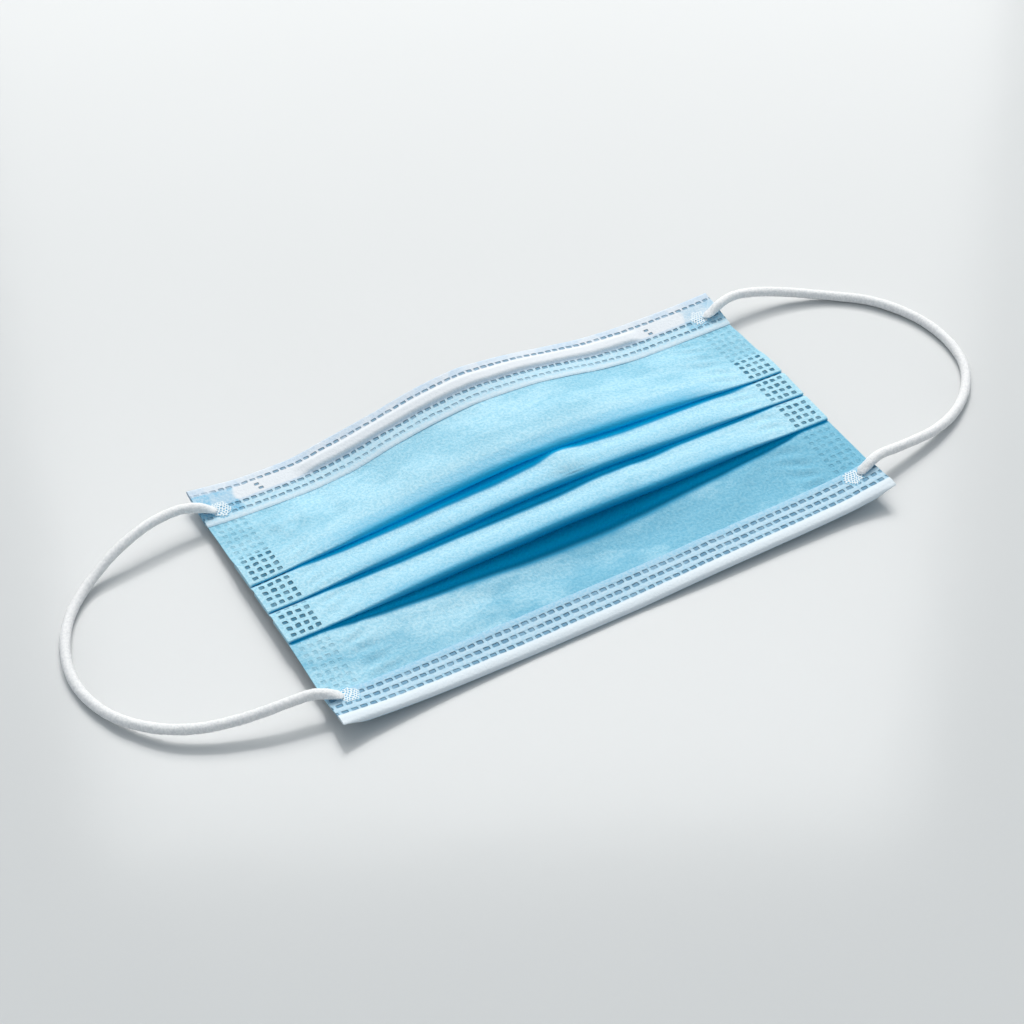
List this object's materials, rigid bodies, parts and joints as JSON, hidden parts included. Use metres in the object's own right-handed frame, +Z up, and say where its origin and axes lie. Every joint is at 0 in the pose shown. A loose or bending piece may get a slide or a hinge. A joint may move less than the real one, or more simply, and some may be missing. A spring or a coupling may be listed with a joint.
{
  "type": "surgical face mask",
  "caption": "Pleated disposable face mask lying flat, with an arched nose edge over a wire, folded and rolled cloth bindings and round elastic ear loops.",
  "frame": {"origin": "on the surface the mask lies on, under the middle of its cloth", "axes": "+X from the left side of the mask to its right, +Y from the chin edge to the nose edge, +Z up from the surface"},
  "size_m": [0.2861, 0.0985, 0.014],
  "materials": {
    "cloth": "matte nonwoven, light blue",
    "band": "matte nonwoven, bluish white",
    "hem": "matte nonwoven, white",
    "elastic": "knitted round elastic, white",
    "steel": "plain wire, hidden in its channel",
    "weld": "ultrasonic weld, embossed honeycomb"
  },
  "bodies": {
    "root": {"pleated_panel": "cloth", "nose_binding": "band", "nose_wire": "steel", "chin_binding": "hem", "ear_loop_left": "elastic", "ear_loop_right": "elastic", "loop_weld_nose_left": "weld", "loop_weld_nose_right": "weld", "loop_weld_chin_left": "weld", "loop_weld_chin_right": "weld"}
  },
  "joints": []
}
